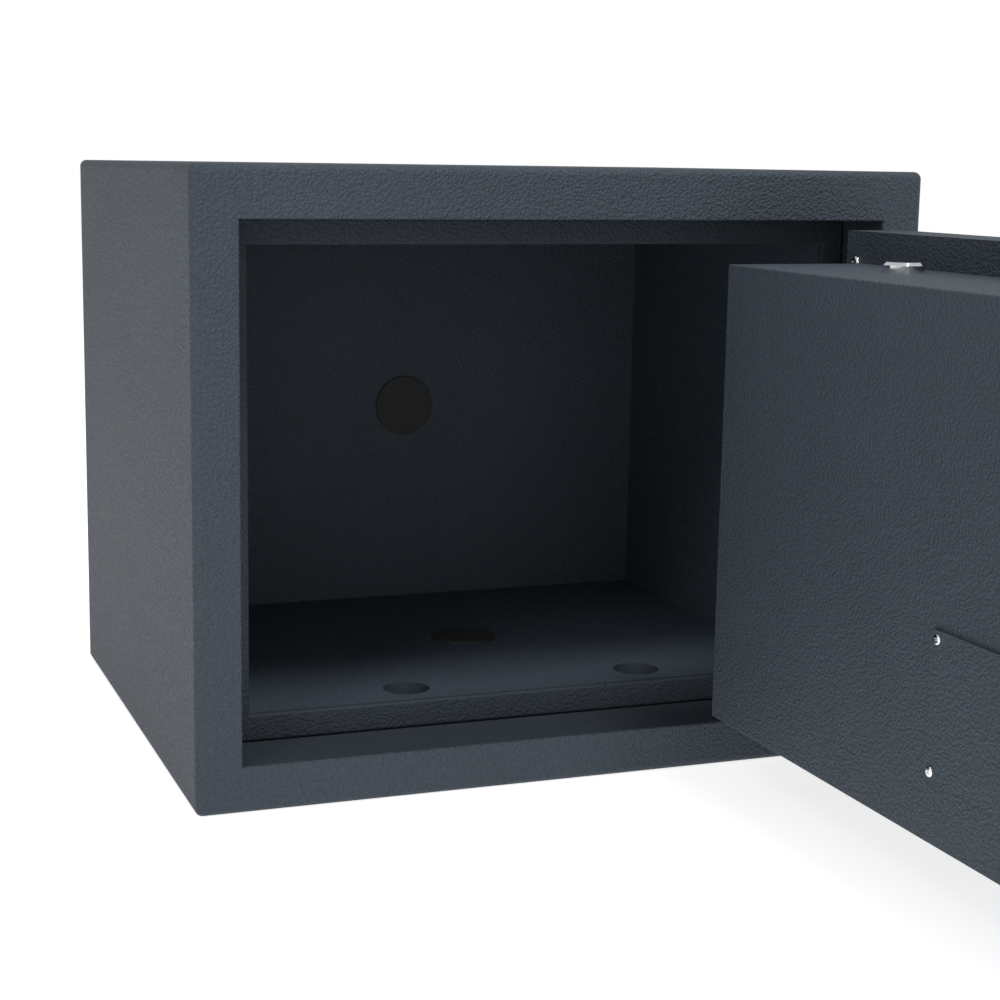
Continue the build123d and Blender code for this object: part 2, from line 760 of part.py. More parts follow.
# Drive motor: a round motor can under a square gearbox, bored for the screw's journal.
with BuildPart() as drive_motor:
    with BuildSketch(Plane.XY.offset(motor_low)):
        with Locations(screw_place):
            Circle(motor_radius)
    extrude(amount=motor_high - motor_low)
    with BuildSketch(Plane.XY.offset(motor_high)):
        with Locations(screw_place):
            RectangleRounded(gearbox_width, gearbox_width, gearbox_corner)
    extrude(amount=gearbox_high - motor_high)
    with BuildSketch(Plane.XY.offset(screw_journal_low)):
        with Locations(screw_place):
            Circle(screw_journal_radius + running_gap)
    extrude(amount=gearbox_high - screw_journal_low, mode=Mode.SUBTRACT)
save(drive_motor, "drive_motor")

# Motor bracket: an angle on the back plate, with the gearbox screwed under its shelf.
with BuildPart() as motor_bracket:
    with BuildSketch(Plane.XY.offset(gearbox_high)):
        with Locations((guide_near_x - bracket_reach / 2, screw_place[1])):
            Rectangle(bracket_reach, bracket_width)
        with Locations(screw_place):
            Circle(boss_clearance_radius, mode=Mode.SUBTRACT)
    extrude(amount=bracket_sheet)
    with BuildSketch(Plane.XY.offset(gearbox_high)):
        with Locations((guide_near_x - bracket_sheet / 2, screw_place[1])):
            Rectangle(bracket_sheet, bracket_width)
    extrude(amount=bracket_rise)
save(motor_bracket, "motor_bracket")

# ================================================================ KEYPAD
key_columns = [key_block_middle + step * key_column_pitch for step in (1, 0, -1)]
key_rows = [key_top_row - step * key_row_pitch for step in range(len(key_names))]
key_places = [(column, row) for row in key_rows for column in key_columns]

# Keypad housing: a shallow shell screwed to the outer plate, with a hole for each key and a window.
with BuildPart() as keypad_housing:
    with BuildSketch(into_door(-keypad_depth)):
        with Locations((keypad_middle, keypad_height)):
            RectangleRounded(keypad_width, keypad_tall, keypad_corner)
    extrude(amount=keypad_depth)
    fillet(keypad_housing.faces().sort_by(Axis.X)[-1].edges(), keypad_edge)
    with BuildSketch(into_door(keypad_wall - keypad_depth)):
        with Locations((keypad_middle, keypad_height)):
            RectangleRounded(keypad_width - 2 * keypad_wall, keypad_tall - 2 * keypad_wall,
                             keypad_corner - keypad_wall)
    extrude(amount=keypad_depth - keypad_wall, mode=Mode.SUBTRACT)
    with BuildSketch(into_door(-keypad_depth)):
        with Locations(*key_places):
            RectangleRounded(key_width + 2 * key_gap, key_tall + 2 * key_gap, key_corner)
        with Locations((key_block_middle, window_middle_height)):
            Rectangle(window_width - 2 * window_ledge, window_tall - 2 * window_ledge)
        with Locations((lock_inset, lock_height)):
            Circle(lock_hole_radius)
    extrude(amount=keypad_wall, mode=Mode.SUBTRACT)
    with BuildSketch(into_door(-keypad_depth)):
        with Locations((key_block_middle, window_middle_height)):
            Rectangle(window_width, window_tall)
    extrude(amount=window_seat, mode=Mode.SUBTRACT)
save(keypad_housing, "keypad_housing")

# Display window: a clear pane seated in the front of the housing.
with BuildPart() as display_window:
    with BuildSketch(into_door(-keypad_depth)):
        with Locations((key_block_middle, window_middle_height)):
            Rectangle(window_width, window_tall)
    extrude(amount=window_seat)
save(display_window, "display_window")

# Display module behind the window.
with BuildPart() as display_module:
    with BuildSketch(into_door(-keypad_board_depth - module_depth)):
        with Locations((key_block_middle, window_middle_height)):
            Rectangle(window_width - 2 * module_inset, window_tall - 2 * module_inset)
    extrude(amount=module_depth)
save(display_module, "display_module")

# Keypad board carries the switch domes and the display.
with BuildPart() as keypad_board:
    with BuildSketch(into_door(-keypad_board_depth)):
        panel(key_columns[-1] - key_width / 2 - keypad_board_margin,
              key_rows[-1] - key_tall / 2 - keypad_board_margin,
              key_columns[0] + key_width / 2 + keypad_board_margin,
              window_middle_height + window_tall / 2)
    extrude(amount=keypad_board_thickness)
save(keypad_board, "keypad_board")

# Switch domes: one soft dome under each key.
dome_height = keypad_depth + key_proud - key_length - key_travel - dome_gap - keypad_board_depth
with BuildPart() as switch_domes:
    with BuildSketch(into_door(-keypad_board_depth - dome_height)):
        with Locations(*key_places):
            Circle(dome_radius)
    extrude(amount=dome_height)
save(switch_domes, "switch_domes")

# Keypad cable: a flat ribbon from the keypad board through the door slab to the lock box.
with BuildPart() as keypad_cable:
    with BuildSketch(into_door(keypad_board_thickness - keypad_board_depth)):
        with Locations((cable_inset, cable_height)):
            Rectangle(cable_width, cable_thickness)
    extrude(amount=slab_depth + keypad_board_depth - keypad_board_thickness + board_standoff)
save(keypad_cable, "keypad_cable")


def make_key(name, place):
    """One push key: a capped body that stands out of the housing, with a flange that keeps it in."""
    with BuildPart() as key:
        with BuildSketch(into_door(-keypad_depth - key_proud)):
            with Locations(place):
                RectangleRounded(key_width, key_tall, key_corner - key_gap)
        extrude(amount=key_length)
        fillet(key.faces().sort_by(Axis.X)[-1].edges(), key_edge)
        with BuildSketch(into_door(keypad_wall - keypad_depth + key_gap)):
            with Locations(place):
                RectangleRounded(key_width + 2 * key_flange, key_tall + 2 * key_flange, key_corner)
        extrude(amount=key_flange_height)
    save(key, f"key_{name}")


for row_names, row in zip(key_names, key_rows):
    for name, column in zip(row_names, key_columns):
        make_key(name, (column, row))

# ================================================================ KEY OVERRIDE
# Lock barrel: a plain tube through the door slab.
barrel_front = keypad_wall - keypad_depth
barrel_length = lock_tail_depth - barrel_front
with BuildPart() as lock_barrel:
    with BuildSketch(into_door(barrel_front)):
        with Locations((lock_inset, lock_height)):
            Circle(lock_barrel_radius)
            Circle(lock_core_radius + running_gap, mode=Mode.SUBTRACT)
    extrude(amount=barrel_length)
save(lock_barrel, "lock_barrel")

# Lock core: the turning plug with its keyway, and the tail that reaches past the barrel.
with BuildPart() as lock_core:
    with BuildSketch(into_door(barrel_front)):
        with Locations((lock_inset, lock_height)):
            Circle(lock_core_radius)
    extrude(amount=barrel_length + tail_clearance)
    with BuildSketch(into_door(barrel_front)):
        with Locations((lock_inset, lock_height)):
            Rectangle(keyway_width, keyway_tall)
    extrude(amount=keyway_depth, mode=Mode.SUBTRACT)
    with BuildSketch(into_door(lock_tail_depth + tail_clearance)):
        with Locations((lock_inset, lock_height)):
            Circle(lock_core_radius)
        with Locations((lock_inset - tail_length / 2, lock_height)):
            SlotOverall(tail_length + tail_width, tail_width)
    extrude(amount=tail_thickness)
save(lock_core, "lock_core")

# Lock cap: a round cover that swings aside on a small stud to uncover the keyway.
cap_front = -keypad_depth - cap_thickness - cap_clearance
with BuildPart() as lock_cap:
    with BuildSketch(into_door(cap_front)):
        with Locations((lock_inset, lock_height)):
            Circle(cap_radius)
        with Locations((lock_inset, lock_height + cap_pivot_rise)):
            Circle(cap_pivot_radius + running_gap, mode=Mode.SUBTRACT)
    extrude(amount=cap_thickness)
    fillet(lock_cap.faces().sort_by(Axis.X)[-1].edges().sort_by(SortBy.LENGTH)[-1], cap_edge)
save(lock_cap, "lock_cap")

# Cap stud: the shouldered stud that the cap turns on.
with BuildPart() as cap_stud:
    with BuildSketch(into_door(cap_front)):
        with Locations((lock_inset, lock_height + cap_pivot_rise)):
            Circle(cap_pivot_radius)
    extrude(amount=-cap_front - keypad_depth)
    with BuildSketch(into_door(cap_front - cap_clearance)):
        with Locations((lock_inset, lock_height + cap_pivot_rise)):
            Circle(stud_head_radius)
    extrude(amount=-stud_head_height)
    with BuildSketch(into_door(cap_front - cap_clearance)):
        with Locations((lock_inset, lock_height + cap_pivot_rise)):
            Circle(cap_pivot_radius)
    extrude(amount=cap_clearance)
save(cap_stud, "cap_stud")

# ================================================================ ELECTRONICS AND BATTERY
board_far = board_inset + board_width
board_high = board_low + board_tall
standoff_places = [
    (inset, height)
    for inset in (board_inset + standoff_margin, board_far - standoff_margin)
    for height in (board_low + standoff_margin, board_high - standoff_margin)
]
with BuildPart() as board_standoffs:
    with BuildSketch(into_door(slab_depth)):
        with Locations(*standoff_places):
            Circle(standoff_radius)
    extrude(amount=board_standoff)
save(board_standoffs, "board_standoffs")

# Control board on its standoffs.
with BuildPart() as control_board:
    with BuildSketch(into_door(slab_depth + board_standoff)):
        panel(board_inset, board_low, board_far, board_high)
    extrude(amount=board_thickness)
save(control_board, "control_board")

# Board parts: processor, relay, capacitors and a plug socket.
board_middle = (board_inset + board_far) / 2
with BuildPart() as board_parts:
    with BuildSketch(into_door(slab_depth + board_standoff + board_thickness)):
        with Locations((board_middle, board_low + board_tall / 2)):
            Rectangle(chip_size, chip_size)
    extrude(amount=chip_height)
    with BuildSketch(into_door(slab_depth + board_standoff + board_thickness)):
        with Locations((board_middle + board_width / 4, board_high - board_tall / 4)):
            Rectangle(relay_width, relay_tall)
    extrude(amount=relay_height)
    with BuildSketch(into_door(slab_depth + board_standoff + board_thickness)):
        with Locations((board_middle - board_width / 4, board_low + board_tall / 4)):
            Circle(capacitor_radius)
        with Locations((board_middle - board_width / 4, board_low + board_tall / 2)):
            Circle(capacitor_radius)
    extrude(amount=capacitor_height)
    with BuildSketch(into_door(slab_depth + board_standoff + board_thickness)):
        with Locations((board_middle, board_high - socket_tall)):
            Rectangle(socket_width, socket_tall)
    extrude(amount=socket_height)
save(board_parts, "board_parts")

# Battery tray: an open-faced cup behind the battery opening, its mouth against the lock box's face.
tray_mouth_depth = box_face_depth - box_sheet
with BuildPart() as battery_tray:
    with BuildSketch(into_door(tray_mouth_depth - tray_depth)):
        panel(opening_near - tray_wall, opening_low - tray_wall,
              opening_far + tray_wall, opening_high + tray_wall)
    extrude(amount=tray_depth)
    with BuildSketch(into_door(tray_mouth_depth - tray_depth + tray_wall)):
        panel(opening_near, opening_low, opening_far, opening_high)
    extrude(amount=tray_depth, mode=Mode.SUBTRACT)
save(battery_tray, "battery_tray")

# Four cells side by side in the tray.
cell_middle = (cover_low + cover_high) / 2
cell_first_inset = (cover_near + cover_far) / 2 - cell_pitch * (cell_count - 1) / 2
cell_depth = tray_mouth_depth - tray_depth + tray_wall + cell_radius
with BuildPart() as battery_cells:
    for cell in range(cell_count):
        with BuildSketch(Plane.XY.offset(cell_middle - cell_length / 2)):
            with Locations(door_place(cell_first_inset + cell * cell_pitch, cell_depth)):
                Circle(cell_radius)
        extrude(amount=cell_length)
save(battery_cells, "battery_cells")

# Battery cover: a plate over the opening, flush on the lock box's face, with four corner screws.
cover_corners = [
    (inset, height)
    for inset in (cover_near - cover_screw_margin, cover_far + cover_screw_margin)
    for height in (opening_low, opening_high)
]
with BuildPart() as battery_cover:
    with BuildSketch(into_door(box_face_depth)):
        panel(cover_near - 2 * cover_screw_margin, cover_low,
              cover_far + 2 * cover_screw_margin, cover_high)
    extrude(amount=battery_cover_sheet)
    fillet(battery_cover.edges().filter_by(Axis.X), battery_cover_corner)
    with BuildSketch(into_door(box_face_depth)):
        with Locations(*cover_corners):
            Circle(cover_screw_shank)
    extrude(amount=battery_cover_sheet, mode=Mode.SUBTRACT)
save(battery_cover, "battery_cover")

with BuildPart() as cover_screws:
    with BuildSketch(into_door(box_face_depth + battery_cover_sheet)):
        with Locations(*cover_corners):
            Circle(cover_screw_head)
    extrude(amount=cover_screw_rise)
    with BuildSketch(into_door(box_face_depth)):
        with Locations(*cover_corners):
            Circle(cover_screw_shank)
    extrude(amount=battery_cover_sheet)
save(cover_screws, "cover_screws")
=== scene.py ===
"""Looks for the in-room safe: a powder-coated steel case with a thick keypad door standing open."""
import math

import bmesh
import bpy
from mathutils import Matrix, Vector


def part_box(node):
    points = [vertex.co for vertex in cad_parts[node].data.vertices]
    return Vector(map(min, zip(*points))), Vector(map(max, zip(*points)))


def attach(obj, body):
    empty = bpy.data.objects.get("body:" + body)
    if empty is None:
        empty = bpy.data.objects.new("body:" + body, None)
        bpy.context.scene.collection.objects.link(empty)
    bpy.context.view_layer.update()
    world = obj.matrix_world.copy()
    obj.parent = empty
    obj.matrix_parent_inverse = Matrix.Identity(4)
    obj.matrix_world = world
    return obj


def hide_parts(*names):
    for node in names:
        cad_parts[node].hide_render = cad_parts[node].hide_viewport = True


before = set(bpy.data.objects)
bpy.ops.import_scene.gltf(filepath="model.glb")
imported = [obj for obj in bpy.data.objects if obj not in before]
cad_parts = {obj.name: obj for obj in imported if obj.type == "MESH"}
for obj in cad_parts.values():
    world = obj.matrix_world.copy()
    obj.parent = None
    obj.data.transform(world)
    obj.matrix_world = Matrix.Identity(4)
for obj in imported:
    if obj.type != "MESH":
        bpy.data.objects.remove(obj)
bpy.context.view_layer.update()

# ------------------------------------------------------------------ the room
# A pale seamless floor, a white room around it and three soft lamps. The camera stands to the
# left of the safe at the height of its top, with a short telephoto lens.
scene = bpy.context.scene
scene.view_settings.view_transform = "Standard"
WALL_LIGHT = 0.6
WALL_SEEN = 1.0
world = bpy.data.worlds.new("white_room")
scene.world = world
world.use_nodes = True
world_nodes = world.node_tree.nodes
world_links = world.node_tree.links
background = world_nodes["Background"]
background.inputs["Color"].default_value = (1.0, 1.0, 1.0, 1.0)
light_path = world_nodes.new("ShaderNodeLightPath")
wall_glow = world_nodes.new("ShaderNodeMapRange")
wall_glow.inputs["To Min"].default_value = WALL_LIGHT
wall_glow.inputs["To Max"].default_value = WALL_SEEN
world_links.new(light_path.outputs["Is Camera Ray"], wall_glow.inputs["Value"])
world_links.new(wall_glow.outputs["Result"], background.inputs["Strength"])

FLOOR_HALF = 6.0
FLOOR_GREY = 0.5
FLOOR_GLOW = 0.78
floor_shape = bmesh.new()
bmesh.ops.create_grid(floor_shape, x_segments=1, y_segments=1, size=FLOOR_HALF)
floor_mesh = bpy.data.meshes.new("studio_floor")
floor_shape.to_mesh(floor_mesh)
floor_shape.free()
floor = bpy.data.objects.new("studio_floor", floor_mesh)
scene.collection.objects.link(floor)
floor_paint = bpy.data.materials.new("pale_floor")
floor_paint.use_nodes = True
floor_shader = floor_paint.node_tree.nodes["Principled BSDF"]
floor_shader.inputs["Base Color"].default_value = (FLOOR_GREY, FLOOR_GREY, FLOOR_GREY, 1.0)
floor_shader.inputs["Emission Color"].default_value = (1.0, 1.0, 1.0, 1.0)
floor_shader.inputs["Emission Strength"].default_value = FLOOR_GLOW
floor_shader.inputs["Roughness"].default_value = 0.9
floor_shader.inputs["Specular IOR Level"].default_value = 0.1
floor_mesh.materials.append(floor_paint)


def soft_lamp(name, place, target, size, power):
    """A square area lamp that faces a target point."""
    lamp = bpy.data.lights.new(name, "AREA")
    lamp.size = size
    lamp.energy = power
    holder = bpy.data.objects.new(name, lamp)
    holder.location = place
    direction = Vector(target) - Vector(place)
    holder.rotation_euler = direction.to_track_quat("-Z", "Y").to_euler()
    scene.collection.objects.link(holder)


soft_lamp("left_lamp", place=(-1.6, -1.4, 1.8), target=(0.0, -0.1, 0.15), size=0.6, power=11.0)
soft_lamp("front_top_lamp", place=(0.3, -0.9, 2.2), target=(0.0, -0.1, 0.1), size=0.5, power=28.0)
soft_lamp("front_fill_lamp", place=(-0.35, -1.9, 0.45), target=(0.0, 0.1, 0.15), size=1.0, power=2.5)

CAMERA_PLACE = (-0.3943, -1.0703, 0.3274)
CAMERA_AZIMUTH = math.radians(20.056)
CAMERA_TILT = math.radians(-10.089)
CAMERA_ROLL = math.radians(0.800)
CAMERA_LENS = 68.704
CAMERA_SHIFT = (0.0399, 0.0008)
camera_data = bpy.data.cameras.new("camera")
camera_data.lens = CAMERA_LENS
camera_data.sensor_width = 36.0
camera_data.shift_x, camera_data.shift_y = CAMERA_SHIFT
camera_data.clip_start = 0.01
camera = bpy.data.objects.new("camera", camera_data)
turn = Matrix.Rotation(-CAMERA_AZIMUTH, 4, "Z")
turn = turn @ Matrix.Rotation(math.pi / 2 + CAMERA_TILT, 4, "X")
turn = turn @ Matrix.Rotation(CAMERA_ROLL, 4, "Z")
camera.matrix_world = Matrix.Translation(CAMERA_PLACE) @ turn
scene.collection.objects.link(camera)
scene.camera = camera


# ------------------------------------------------------------------ powder-coated steel
# Case skin, rebate, rim, liner, door slab and lock box are folded steel sheet, sprayed with a
# textured blue-grey powder that bakes into a leathery orange-peel grain.
def new_finish(name):
    """An empty node material: the material, its nodes, its links, its shader and object coordinates."""
    finish = bpy.data.materials.new(name)
    finish.use_nodes = True
    nodes = finish.node_tree.nodes
    links = finish.node_tree.links
    place = nodes.new("ShaderNodeTexCoord").outputs["Object"]
    return finish, nodes, links, nodes["Principled BSDF"], place


def speckle(nodes, links, place, scale, detail=2.0, roughness=0.5):
    """A noise pattern of a given scale in cells per metre. Returns its grey output."""
    noise = nodes.new("ShaderNodeTexNoise")
    noise.inputs["Scale"].default_value = scale
    noise.inputs["Detail"].default_value = detail
    noise.inputs["Roughness"].default_value = roughness
    links.new(place, noise.inputs["Vector"])
    return noise.outputs["Fac"]


def ramp(nodes, links, source, stops):
    """A colour ramp over a grey source. Each stop is a position and a colour or a grey."""
    node = nodes.new("ShaderNodeValToRGB")
    elements = node.color_ramp.elements
    while len(elements) < len(stops):
        elements.new(0.5)
    for element, (position, colour) in zip(elements, stops):
        element.position = position
        grey = isinstance(colour, float)
        element.color = (colour, colour, colour, 1.0) if grey else (*colour, 1.0)
    links.new(source, node.inputs["Fac"])
    return node.outputs["Color"]


def bump(nodes, links, height, distance, under=None):
    """A bump of a height in metres, laid over another bump where one is given."""
    node = nodes.new("ShaderNodeBump")
    node.inputs["Distance"].default_value = distance
    node.inputs["Strength"].default_value = 1.0
    links.new(height, node.inputs["Height"])
    if under is not None:
        links.new(under, node.inputs["Normal"])
    return node.outputs["Normal"]


def tinted(shade, factor):
    """A colour made darker or lighter by a factor."""
    return [part * factor for part in shade]


PEBBLE_SCALE = 620.0
SWIRL_SCALE = 330.0
SWIRL_REACH = 0.0022
FINE_GRAIN_SCALE = 1600.0
FINE_GRAIN_SHARE = 0.25


def powder_coat(name, shade, grain_height, roughness):
    """Textured powder: drifting tone over pebbled grain, with painted shade darkening the narrow valleys.
    """
    finish, nodes, links, shader, place = new_finish(name)
    drift = speckle(nodes, links, place, 9.0, detail=4.0)
    tone = ramp(nodes, links, drift, [(0.3, tinted(shade, 0.94)), (0.7, tinted(shade, 1.06))])
    swirl = nodes.new("ShaderNodeTexNoise")
    swirl.inputs["Scale"].default_value = SWIRL_SCALE
    links.new(place, swirl.inputs["Vector"])
    bend = nodes.new("ShaderNodeVectorMath")
    bend.operation = "MULTIPLY_ADD"
    bend.inputs[1].default_value = (SWIRL_REACH, SWIRL_REACH, SWIRL_REACH)
    links.new(swirl.outputs["Color"], bend.inputs[0])
    links.new(place, bend.inputs[2])
    pebbles = nodes.new("ShaderNodeTexVoronoi")
    pebbles.feature = "SMOOTH_F1"
    pebbles.inputs["Scale"].default_value = PEBBLE_SCALE
    pebbles.inputs["Smoothness"].default_value = 0.35
    links.new(bend.outputs["Vector"], pebbles.inputs["Vector"])
    pebble = ramp(nodes, links, pebbles.outputs["Distance"], [(0.15, 1.0), (0.75, 0.0)])
    # The colour is darkened in the valleys between the pebbles: painted shade for the grain's relief.
    valley_painted_shade = nodes.new("ShaderNodeMix")
    valley_painted_shade.data_type = "RGBA"
    valley_painted_shade.blend_type = "MULTIPLY"
    valley_painted_shade.inputs["Factor"].default_value = 1.0
    links.new(tone, valley_painted_shade.inputs[6])
    links.new(ramp(nodes, links, pebble, [(0.0, 0.88), (0.55, 1.0)]), valley_painted_shade.inputs[7])
    links.new(valley_painted_shade.outputs[2], shader.inputs["Base Color"])
    sheen = ramp(nodes, links, pebble, [(0.1, roughness + 0.15), (0.9, roughness)])
    links.new(sheen, shader.inputs["Roughness"])
    shader.inputs["Specular IOR Level"].default_value = 0.25
    fine = speckle(nodes, links, place, FINE_GRAIN_SCALE, detail=2.0)
    rounded = bump(nodes, links, pebble, grain_height)
    grained = bump(nodes, links, fine, grain_height * FINE_GRAIN_SHARE, under=rounded)
    links.new(grained, shader.inputs["Normal"])
    return finish


def coat(names, finish):
    """Give carried-over nodes a finish."""
    for name in names:
        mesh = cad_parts[name].data
        mesh.materials.clear()
        mesh.materials.append(finish)


COAT_SHADE = (0.040, 0.053, 0.069)
# The inside liner carries the case powder made 1.2 times lighter: painted light for the interior.
ROOM_PAINTED_LIGHT_COLOUR = tinted(COAT_SHADE, 1.2)
# The rebate frame and stop rim carry the case powder darkened to 0.68 times: painted shade for the
# rebate's underside.
REBATE_PAINTED_SHADE_COLOUR = tinted(COAT_SHADE, 0.68)
# The anchor cups carry the case powder made 1.1 times lighter: painted light in the cups.
CUP_PAINTED_LIGHT_COLOUR = tinted(COAT_SHADE, 1.1)
case_coat = powder_coat("powder_coat_case", COAT_SHADE, grain_height=0.0006, roughness=0.5)
room_coat_painted_light = powder_coat("powder_coat_inside_painted_light", ROOM_PAINTED_LIGHT_COLOUR, grain_height=0.0005, roughness=0.5)
door_coat = powder_coat("powder_coat_door", COAT_SHADE, grain_height=0.0005, roughness=0.5)
rebate_coat_painted_shade = powder_coat("powder_coat_rebate_painted_shade", REBATE_PAINTED_SHADE_COLOUR, grain_height=0.0003, roughness=0.6)
coat(["case_shell", "base_plate", "rear_panel"], case_coat)
coat(["rebate_frame", "stop_rim"], rebate_coat_painted_shade)
cup_coat_painted_light = powder_coat("powder_coat_cups_painted_light", CUP_PAINTED_LIGHT_COLOUR, grain_height=0.00012, roughness=0.6)
coat(["inner_liner"], room_coat_painted_light)
coat(["floor_anchor_cups", "rear_anchor_cup"], cup_coat_painted_light)
coat(["door_pan", "door_back_plate", "lock_box", "battery_cover"], door_coat)
coat(["case_knuckles", "door_knuckles", "knuckle_caps"], case_coat)

# ------------------------------------------------------------------ insulating boards
# Pale foamed-plaster boards between the sheets of the case, and the same fill in the door slab.
# They are cut to size and seen only when the safe is taken apart.
CELL_DEPTH = 0.0012
fill, nodes, links, shader, place = new_finish("insulating_board")
cells = speckle(nodes, links, place, 700.0, detail=5.0, roughness=0.65)
plaster = ramp(nodes, links, cells, [(0.35, (0.40, 0.38, 0.34)), (0.65, (0.62, 0.60, 0.55))])
links.new(plaster, shader.inputs["Base Color"])
shader.inputs["Roughness"].default_value = 0.95
links.new(bump(nodes, links, cells, CELL_DEPTH), shader.inputs["Normal"])
coat(["wall_infill", "door_infill"], fill)


# ------------------------------------------------------------------ anchor cups, strikes and plugs
# Coated cups pressed into the floor and back, and zinc-plated blind sockets that take the bolts.
# The middle floor cup and the rear cup are closed by moulded rubber plugs.
HAIRLINE_HEIGHT = 0.00004
RUBBER_GRAIN_HEIGHT = 0.00008


def plated(name, shade, roughness, brush_scale=None):
    """Plated or turned metal with cloudy tone, hairlines and a faint ripple."""
    finish, nodes, links, shader, place = new_finish(name)
    shader.inputs["Metallic"].default_value = 1.0
    cloud = speckle(nodes, links, place, 60.0, detail=5.0, roughness=0.6)
    tone = ramp(nodes, links, cloud, [(0.3, tinted(shade, 0.82)), (0.7, shade)])
    links.new(tone, shader.inputs["Base Color"])
    lines = place
    if brush_scale:
        stretch = nodes.new("ShaderNodeMapping")
        stretch.inputs["Scale"].default_value = brush_scale
        links.new(place, stretch.inputs["Vector"])
        lines = stretch.outputs["Vector"]
    hairline = speckle(nodes, links, lines, 900.0, detail=3.0)
    sheen = ramp(nodes, links, hairline, [(0.3, roughness * 0.75), (0.7, roughness * 1.3)])
    links.new(sheen, shader.inputs["Roughness"])
    links.new(bump(nodes, links, hairline, HAIRLINE_HEIGHT), shader.inputs["Normal"])
    return finish


coat(["bolt_strikes"], plated("zinc_plate", (0.52, 0.54, 0.57), roughness=0.34))

rubber, nodes, links, shader, place = new_finish("black_rubber")
bloom = speckle(nodes, links, place, 140.0, detail=5.0, roughness=0.7)
bloom_tone = ramp(nodes, links, bloom, [(0.35, (0.013, 0.013, 0.014)), (0.75, (0.026, 0.027, 0.029))])
links.new(bloom_tone, shader.inputs["Base Color"])
links.new(ramp(nodes, links, bloom, [(0.3, 0.62), (0.7, 0.8)]), shader.inputs["Roughness"])
mould_grain = speckle(nodes, links, place, 1500.0, detail=3.0)
links.new(bump(nodes, links, mould_grain, RUBBER_GRAIN_HEIGHT), shader.inputs["Normal"])
coat(["floor_plug", "rear_plug", "switch_domes"], rubber)

# ------------------------------------------------------------------ hinges
# Two outside hinges. Turned steel pins are pressed into the case knuckles, and the door knuckles
# turn on them over bronze washers. The bolts' bushes and the lead nut are of the same bronze.
TURNED_LINES = (0.15, 0.15, 1.0)
bright_steel = plated("turned_steel", (0.58, 0.58, 0.59), roughness=0.26, brush_scale=TURNED_LINES)
bronze = plated("bearing_bronze", (0.66, 0.45, 0.20), roughness=0.3, brush_scale=TURNED_LINES)
coat(["hinge_pins"], bright_steel)
coat(["hinge_washers", "bolt_bushes", "lead_nut"], bronze)

# ------------------------------------------------------------------ bolts
# Two solid round steel bolts, hard-chromed and polished. They slide upwards in bushes and stand a
# little out of the lock box. The stud of the key override's cap has the same finish.
POLISH_HEIGHT = 0.00001
chrome, nodes, links, shader, place = new_finish("hard_chrome")
shader.inputs["Base Color"].default_value = (0.78, 0.79, 0.80, 1.0)
shader.inputs["Metallic"].default_value = 1.0
wear = speckle(nodes, links, place, 300.0, detail=6.0, roughness=0.7)
links.new(ramp(nodes, links, wear, [(0.35, 0.05), (0.75, 0.16)]), shader.inputs["Roughness"])
links.new(bump(nodes, links, wear, POLISH_HEIGHT), shader.inputs["Normal"])
coat(["locking_bolts", "cap_stud"], chrome)


# ------------------------------------------------------------------ screws
# Chromed pan-head screws with a cross recess: six hold the door's back plate, and four smaller
# ones the battery cover. Their heads face into the safe when the door is shut.
MM = 0.001
CROWN_SHARE = 0.7
CROWN_STEPS = 6
TURN_STEPS = 32
SLOT_LONG = 1.15
SLOT_WIDE = 0.22
SCREW_LEAN = 0.7
SOFT_EDGE = math.radians(35)


